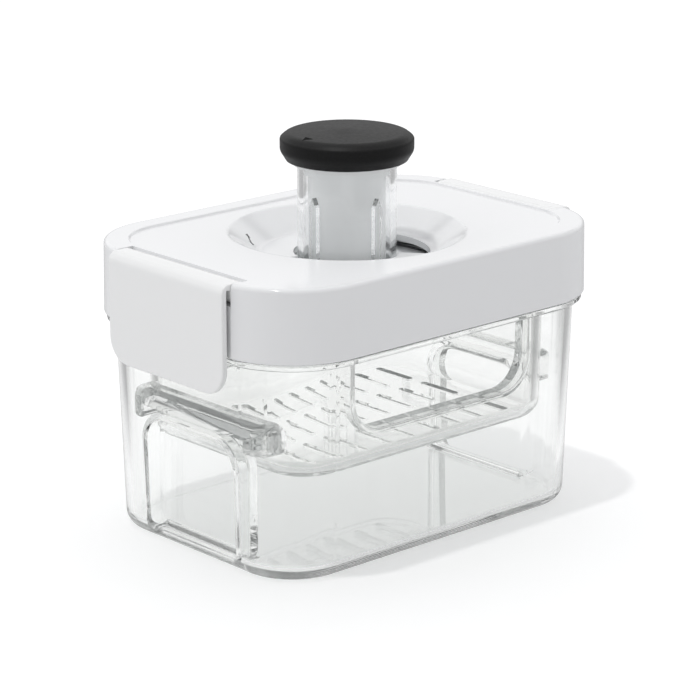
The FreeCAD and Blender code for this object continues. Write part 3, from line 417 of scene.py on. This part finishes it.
# ---------------------------------------------------------------- guide collar
# Light grey acetal disc and bush, screwed up to the lid from below; the stem slides through it. Its face
# is faintly ringed from the turned mould, and its ledges hold the stem's wings when the knob is turned.
WAVE_RATE = 10.0


def ringed_plastic(name, colour, shade, polish, ring_pitch):
    """Opaque plastic with fine turned rings round the piece's upright axis."""
    material, tree, out = new_material(name)
    plastic = node_of(tree, "ShaderNodeBsdfPrincipled", IOR=PLASTIC_IOR)
    place = tree.nodes.new("ShaderNodeTexCoord")
    waves = node_of(tree, "ShaderNodeTexWave", wave_type="RINGS", rings_direction="Z",
                    Scale=math.pi / (WAVE_RATE * ring_pitch))
    tree.links.new(place.outputs["Object"], waves.inputs["Vector"])
    rings = waves.outputs["Fac"]
    patches = surface_noise(tree, scale=80.0, detail=4.0)
    tree.links.new(colour_between(tree, rings, colour, shade), plastic.inputs["Base Color"])
    tree.links.new(spread_over(tree, patches, *polish), plastic.inputs["Roughness"])
    tree.links.new(bumps(tree, rings, strength=0.12, depth=0.0001), plastic.inputs["Normal"])
    tree.links.new(plastic.outputs[0], out.inputs["Surface"])
    return material


finish_node("guide_collar", ringed_plastic(
    "ringed_acetal", colour=(0.80, 0.81, 0.82), shade=(0.74, 0.75, 0.76),
    polish=(0.3, 0.4), ring_pitch=0.0014))

# ---------------------------------------------------------------- collar screws
# Four plated self-tapping screws with pan heads and cross recesses, driven up through the collar's disc
# into the lid's bosses, in pairs each side of the opening.
SCREW_CIRCLE = 0.028
SCREW_SPREAD = math.radians(28.0)
SCREW_TURN = 0.7
SCREW_SEAT = 0.0948
SCREW_HEAD_RADIUS = 0.0026
SCREW_HEAD_HEIGHT = 0.0016
SCREW_HEAD_ROUND = 0.0010
SCREW_CROSS_DEPTH = 0.0010
SCREW_SHANK_RADIUS = 0.00115
SCREW_LENGTH = 0.0061
SCREW_PITCH = 0.0010
SCREW_EDGE = math.radians(30.0)
LATHE_SIDES = 48
LATHE_TOUCH = 1e-6
ROUND_STEPS = 6
# A driver's cross in parts of the head's radius, and how wide it is at its mouth and at its tip.
CROSS_ARM = 0.62
CROSS_BLADE = 0.17
CROSS_MOUTH = 1.06
CROSS_TIP = 0.45
CROSS_BLADE_TAPER = 0.25
CROSS_START = 0.0002
# A thread's core in parts of its radius, and where its root and its crest lie in parts of its pitch.
THREAD_CORE = 0.78
THREAD_ROOT = 0.45
THREAD_CREST = 0.72


def turned_mesh(name, outline):
    """A closed solid of revolution about Z from (radius, height) points, both ends on the axis."""
    shape = bmesh.new()
    turns = [2.0 * math.pi * k / LATHE_SIDES for k in range(LATHE_SIDES)]
    rows = []
    for radius, level in outline:
        if radius < LATHE_TOUCH:
            rows.append([shape.verts.new((0.0, 0.0, level))])
        else:
            rows.append([shape.verts.new((radius * math.cos(turn), radius * math.sin(turn), level))
                         for turn in turns])
    for low, high in zip(rows, rows[1:]):
        for k in range(LATHE_SIDES):
            ring = [low[k % len(low)], low[(k + 1) % len(low)],
                    high[(k + 1) % len(high)], high[k % len(high)]]
            shape.faces.new(list(dict.fromkeys(ring)))
    return closed_mesh(name, shape)


def rounded_end(radius, level, size, way):
    """Outline points of a quarter round from a side's radius in to a flat at the level.

    The flat faces up where way is 1 and down where it is -1.
    """
    turns = [math.pi / 2.0 * k / ROUND_STEPS for k in range(ROUND_STEPS + 1)]
    return [(radius - size + size * math.cos(t), level - way * size * (1.0 - math.sin(t))) for t in turns]


def thread_outline(radius, first, last, pitch):
    """Outline points of a rolled thread between two heights: sharp ridges on a thinner core."""
    way = 1.0 if last > first else -1.0
    core = radius * THREAD_CORE
    points = []
    for k in range(int(abs(last - first) / pitch)):
        level = first + way * pitch * k
        points += [(core, level), (core, level + way * pitch * THREAD_ROOT),
                   (radius, level + way * pitch * THREAD_CREST)]
    return points


def cross_recess(radius, face, depth, way):
    """A tapered cross, to be cut into a head's face; it goes deep along way from just outside the face."""
    shape = bmesh.new()
    arm, blade = radius * CROSS_ARM, radius * CROSS_BLADE
    for turn in (0.0, math.pi / 2.0):
        corners = []
        for level, part in ((face - way * CROSS_START, CROSS_MOUTH), (face + way * depth, CROSS_TIP)):
            for x, y in ((-arm, -blade), (arm, -blade), (arm, blade), (-arm, blade)):
                px, py = x * part, y * (1.0 - CROSS_BLADE_TAPER + CROSS_BLADE_TAPER * part)
                corners.append(shape.verts.new((px * math.cos(turn) - py * math.sin(turn),
                                                px * math.sin(turn) + py * math.cos(turn), level)))
        for side in ((0, 1, 2, 3), (7, 6, 5, 4), (0, 4, 5, 1), (1, 5, 6, 2), (2, 6, 7, 3), (3, 7, 4, 0)):
            shape.faces.new([corners[k] for k in side])
    return placed("driver_cross", closed_mesh("driver_cross", shape))


def settle(piece):
    """Turns what a piece's modifiers make into its own mesh."""
    made = bpy.data.meshes.new_from_object(piece.evaluated_get(bpy.context.evaluated_depsgraph_get()))
    piece.modifiers.clear()
    piece.data = made


def crossed_screw(name, outline, cutter):
    """A screw turned from its outline, with a driver's cross cut into its head by the cutter."""
    screw = placed(name, turned_mesh(name, outline))
    cut = screw.modifiers.new("recess", "BOOLEAN")
    cut.operation = "DIFFERENCE"
    cut.solver = "EXACT"
    cut.use_self = True
    cut.object = cutter
    settle(screw)
    bpy.data.objects.remove(cutter)
    return screw


def geometry_tree(name, sizes):
    """A geometry node tree with a named input for each size: returns it, its input and its output node."""
    tree = bpy.data.node_groups.new(name, "GeometryNodeTree")
    tree.interface.new_socket("Geometry", in_out="INPUT", socket_type="NodeSocketGeometry")
    for label, value in sizes.items():
        kind = "NodeSocketInt" if isinstance(value, int) else "NodeSocketFloat"
        tree.interface.new_socket(label, in_out="INPUT", socket_type=kind)
    tree.interface.new_socket("Finish", in_out="INPUT", socket_type="NodeSocketMaterial")
    tree.interface.new_socket("Geometry", in_out="OUTPUT", socket_type="NodeSocketGeometry")
    return tree, tree.nodes.new("NodeGroupInput"), tree.nodes.new("NodeGroupOutput")


def sums(tree, operation, first, second=0.0):
    """A maths node on one or two sockets or numbers."""
    node = node_of(tree, "ShaderNodeMath", operation=operation)
    for socket, value in zip(node.inputs, (first, second)):
        if isinstance(value, (int, float)):
            socket.default_value = value
        else:
            tree.links.new(value, socket)
    return node.outputs[0]


def on_circle(tree, angle, radius):
    """The node of a place on a circle about Z, at height 0 until its Z is linked."""
    where = tree.nodes.new("ShaderNodeCombineXYZ")
    for axis, turn in (("X", "COSINE"), ("Y", "SINE")):
        tree.links.new(sums(tree, "MULTIPLY", sums(tree, turn, angle), radius), where.inputs[axis])
    return where


def end_tree(tree, geometry, given, out):
    """Ends a tree: its geometry made whole and given its finish."""
    whole = tree.nodes.new("GeometryNodeRealizeInstances")
    finish = tree.nodes.new("GeometryNodeSetMaterial")
    tree.links.new(geometry, whole.inputs[0])
    tree.links.new(whole.outputs[0], finish.inputs["Geometry"])
    tree.links.new(given.outputs["Finish"], finish.inputs["Material"])
    tree.links.new(finish.outputs[0], out.inputs[0])


def grow(piece, tree, sizes, finish):
    """Runs the tree on the piece with these sizes and keeps the mesh that it makes."""
    growth = piece.modifiers.new("growth", "NODES")
    growth.node_group = tree
    values = dict(sizes, Finish=finish)
    for item in tree.interface.items_tree:
        if item.item_type == "SOCKET" and item.in_out == "INPUT" and item.name in values:
            growth[item.identifier] = values[item.name]
    settle(piece)


def shade_by_angle(piece, angle):
    """Smooth shading that keeps edges sharper than the angle."""
    piece.data.shade_smooth()
    piece.data.set_sharp_from_angle(angle=angle)


head_face = SCREW_SEAT - SCREW_HEAD_HEIGHT
screw_end = SCREW_SEAT + SCREW_LENGTH
screw_outline = [(0.0, head_face)]
screw_outline += rounded_end(SCREW_HEAD_RADIUS, head_face, SCREW_HEAD_ROUND, -1.0)[::-1]
screw_outline += [(SCREW_HEAD_RADIUS, SCREW_SEAT), (SCREW_SHANK_RADIUS, SCREW_SEAT)]
screw_outline += thread_outline(SCREW_SHANK_RADIUS, SCREW_SEAT + SCREW_PITCH, screw_end, SCREW_PITCH)
screw_outline += [(0.0, screw_end)]
head_cross = cross_recess(SCREW_HEAD_RADIUS, head_face, SCREW_CROSS_DEPTH, 1.0)
collar_screws = crossed_screw("pan_screws", screw_outline, head_cross)

screw_sizes = {"Count": 4, "Circle": SCREW_CIRCLE, "Spread": SCREW_SPREAD, "Turn": SCREW_TURN}
tree, given, out = geometry_tree("screws_in_pairs", screw_sizes)
places = tree.nodes.new("GeometryNodePoints")
tree.links.new(given.outputs["Count"], places.inputs["Count"])
index = tree.nodes.new("GeometryNodeInputIndex").outputs[0]
pair = sums(tree, "FLOOR", sums(tree, "DIVIDE", index, 2.0))
side = sums(tree, "SUBTRACT", sums(tree, "MULTIPLY", sums(tree, "MODULO", index, 2.0), 2.0), 1.0)
angle = sums(tree, "ADD", sums(tree, "MULTIPLY", pair, math.pi), math.pi / 2.0)
angle = sums(tree, "ADD", angle, sums(tree, "MULTIPLY", side, given.outputs["Spread"]))
where = on_circle(tree, angle, given.outputs["Circle"])
tree.links.new(where.outputs[0], places.inputs["Position"])
each = tree.nodes.new("GeometryNodeInstanceOnPoints")
twist = tree.nodes.new("ShaderNodeCombineXYZ")
tree.links.new(sums(tree, "MULTIPLY", index, given.outputs["Turn"]), twist.inputs["Z"])
tree.links.new(places.outputs[0], each.inputs["Points"])
tree.links.new(given.outputs["Geometry"], each.inputs["Instance"])
tree.links.new(twist.outputs[0], each.inputs["Rotation"])
end_tree(tree, each.outputs[0], given, out)
screw_steel = bare_steel("plated_screw_steel", colour=(0.62, 0.61, 0.60), polish=(0.2, 0.4))
grow(collar_screws, tree, screw_sizes, screw_steel)
shade_by_angle(collar_screws, SCREW_EDGE)
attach(collar_screws, "lid")
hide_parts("collar_screws")

# ---------------------------------------------------------------- spring seat
# Light grey plastic ring pressed into the lid round the collar.
# The spring's top coil bears on it, so that the steel doesn't wear the lid.
finish_node("spring_seat", ringed_plastic(
    "ringed_seat", colour=(0.66, 0.67, 0.68), shade=(0.61, 0.62, 0.63),
    polish=(0.4, 0.55), ring_pitch=0.0012))

# ---------------------------------------------------------------- press plate
# White plastic plate that bears on the block, with a stiffening rim and drain grooves under it.
# It is less polished than the lid, because it never shows in use.
finish_node("press_plate", moulded_plastic(
    "plate_white", colour=(0.84, 0.845, 0.85), shade=(0.81, 0.815, 0.82), polish=(0.25, 0.4), grain=700.0))

# ---------------------------------------------------------------- swivel washer and screw
# Stainless washer and a plated pan-head screw on the plate's post.
# They hold the stem's foot down and still let the knob turn.
finish_node("swivel_washer", bare_steel(
    "tumbled_washer_steel", colour=(0.62, 0.61, 0.60), polish=(0.2, 0.4)))

SWIVEL_SEAT = 0.0912
SWIVEL_HEAD_RADIUS = 0.0040
SWIVEL_HEAD_HEIGHT = 0.0024
SWIVEL_HEAD_ROUND = 0.0014
SWIVEL_CROSS_DEPTH = 0.0014
SWIVEL_SHANK_RADIUS = 0.0015
SWIVEL_END = 0.0856
SWIVEL_PITCH = 0.0012

swivel_face = SWIVEL_SEAT + SWIVEL_HEAD_HEIGHT
swivel_outline = [(0.0, SWIVEL_END)]
swivel_outline += thread_outline(
    SWIVEL_SHANK_RADIUS, SWIVEL_SEAT - SWIVEL_PITCH, SWIVEL_END, SWIVEL_PITCH)[::-1]
swivel_outline += [(SWIVEL_SHANK_RADIUS, SWIVEL_SEAT), (SWIVEL_HEAD_RADIUS, SWIVEL_SEAT)]
swivel_outline += rounded_end(SWIVEL_HEAD_RADIUS, swivel_face, SWIVEL_HEAD_ROUND, 1.0)
swivel_outline += [(0.0, swivel_face)]
post_cross = cross_recess(SWIVEL_HEAD_RADIUS, swivel_face, SWIVEL_CROSS_DEPTH, -1.0)
swivel_screw = crossed_screw("post_screw", swivel_outline, post_cross)
swivel_screw.data.materials.append(
    bare_steel("plated_post_steel", colour=(0.62, 0.61, 0.60), polish=(0.2, 0.4)))
shade_by_angle(swivel_screw, SCREW_EDGE)
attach(swivel_screw, "plunger")
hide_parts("swivel_screw")

# ---------------------------------------------------------------- press spring
# Stainless compression spring of round wire, cold coiled, with closed ends that lie flat.
# It stands between the seat in the lid and the press plate, and drives the plate down.
WIRE_EDGE = math.radians(40.0)

spring_sizes = {"Coil Radius": 0.0376, "Wire": 0.0020, "Top": 0.0991, "Bottom": 0.0877, "Turns": 4.0,
                "Flat Turns": 0.4, "Steps": 320, "Sides": 12}
tree, given, out = geometry_tree("closed_end_coil", spring_sizes)
line = tree.nodes.new("GeometryNodeCurvePrimitiveLine")
rod = tree.nodes.new("GeometryNodeResampleCurve")
tree.links.new(line.outputs[0], rod.inputs["Curve"])
tree.links.new(given.outputs["Steps"], rod.inputs["Count"])
along = tree.nodes.new("GeometryNodeSplineParameter").outputs["Factor"]
turned = sums(tree, "MULTIPLY", sums(tree, "MULTIPLY", along, given.outputs["Turns"]), 2.0 * math.pi)
flat = sums(tree, "DIVIDE", given.outputs["Flat Turns"], given.outputs["Turns"])
rise = tree.nodes.new("ShaderNodeMapRange")
for socket, value in (("Value", along), ("From Min", flat), ("From Max", sums(tree, "SUBTRACT", 1.0, flat)),
                      ("To Min", given.outputs["Top"]), ("To Max", given.outputs["Bottom"])):
    tree.links.new(value, rise.inputs[socket])
where = on_circle(tree, turned, given.outputs["Coil Radius"])
tree.links.new(rise.outputs[0], where.inputs["Z"])
wound = tree.nodes.new("GeometryNodeSetPosition")
tree.links.new(rod.outputs[0], wound.inputs["Geometry"])
tree.links.new(where.outputs[0], wound.inputs["Position"])
wire_round = tree.nodes.new("GeometryNodeCurvePrimitiveCircle")
tree.links.new(given.outputs["Sides"], wire_round.inputs["Resolution"])
tree.links.new(sums(tree, "DIVIDE", given.outputs["Wire"], 2.0), wire_round.inputs["Radius"])
drawn = node_of(tree, "GeometryNodeCurveToMesh", Fill_Caps=True)
tree.links.new(wound.outputs[0], drawn.inputs["Curve"])
tree.links.new(wire_round.outputs[0], drawn.inputs["Profile Curve"])
end_tree(tree, drawn.outputs[0], given, out)
coil = placed("coil_spring", bpy.data.meshes.new("coil_spring"))
spring_steel = bare_steel("spring_wire_steel", colour=(0.62, 0.62, 0.63), polish=(0.15, 0.3))
grow(coil, tree, spring_sizes, spring_steel)
shade_by_angle(coil, WIRE_EDGE)
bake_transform(coil)
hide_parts("press_spring")

# ---------------------------------------------------------------- stem foot
# White plastic cup welded into the stem's lower end; it turns on the plate's post.
# Its two wings lock under the collar's ledges.
finish_node("stem_foot", moulded_plastic(
    "foot_white", colour=(0.84, 0.845, 0.85), shade=(0.81, 0.815, 0.82), polish=(0.3, 0.45), grain=900.0))

# ---------------------------------------------------------------- stem tube
# Clear copolyester tube with four ribs inside, polished outside. It slides through the collar and joins
# the foot to the knob, and the white liner of the knob's core shows through it.
finish_node("stem_tube", clear_plastic(
    "clear_stem", colour=(0.992, 0.995, 0.995), shade=(0.980, 0.986, 0.988), haze=0.015, density=12.0))

# ---------------------------------------------------------------- knob core
# White hub, moulded in ABS, that plugs into the stem and stiffens the knob.
# Its long liner closes the stem's bore and shows white between the ribs.
finish_node("knob_core", moulded_plastic(
    "core_white", colour=(0.93, 0.935, 0.94), shade=(0.91, 0.915, 0.92), polish=(0.2, 0.3), grain=700.0))

# ---------------------------------------------------------------- knob grip
# Matt black rubber cap, moulded over the core; its skin is finely pebbled, so it shines only at a flat
# angle. A small pointer on its top shows which way the twist lock stands.


def black_rubber(name, colour, shade, polish, grain, gloss):
    """Dull rubber: specks of two blacks, a pebbled skin and weak gloss."""
    material, tree, out = new_material(name)
    rubber = node_of(tree, "ShaderNodeBsdfPrincipled", IOR=PLASTIC_IOR, Specular_IOR_Level=gloss)
    pebbles = surface_noise(tree, scale=grain, detail=2.0)
    patches = surface_noise(tree, scale=grain / 2.0, detail=3.0)
    tree.links.new(colour_between(tree, pebbles, colour, shade), rubber.inputs["Base Color"])
    tree.links.new(spread_over(tree, patches, *polish), rubber.inputs["Roughness"])
    tree.links.new(bumps(tree, pebbles, strength=0.25, depth=0.00015), rubber.inputs["Normal"])
    tree.links.new(rubber.outputs[0], out.inputs["Surface"])
    return material


finish_node("knob_grip", black_rubber(
    "pebbled_rubber", colour=(0.004, 0.004, 0.004), shade=(0.012, 0.012, 0.0125),
    polish=(0.34, 0.50), grain=1400.0, gloss=0.17))

POINTER_MIDDLE = math.radians(180.0)
POINTER_RADIUS = 0.0206
POINTER_LENGTH = 0.0032
POINTER_WIDTH = 0.0040
POINTER_RAISE = 0.00012

grip_skin = BVHTree.FromObject(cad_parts["knob_grip"], bpy.context.evaluated_depsgraph_get())
pointer_base = POINTER_RADIUS - POINTER_LENGTH / 2
half_turn = POINTER_WIDTH / 2 / pointer_base
pointer_places = ((POINTER_MIDDLE - half_turn, pointer_base), (POINTER_MIDDLE + half_turn, pointer_base),
                  (POINTER_MIDDLE, POINTER_RADIUS + POINTER_LENGTH / 2))
pointer = printed_mark("knob_pointer", grip_skin, [pointer_places], POINTER_RAISE)
pointer.data.materials.append(black_rubber(
    "smooth_rubber", colour=(0.004, 0.004, 0.004), shade=(0.008, 0.008, 0.008),
    polish=(0.7, 0.8), grain=1400.0, gloss=0.05))
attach(pointer, "knob")
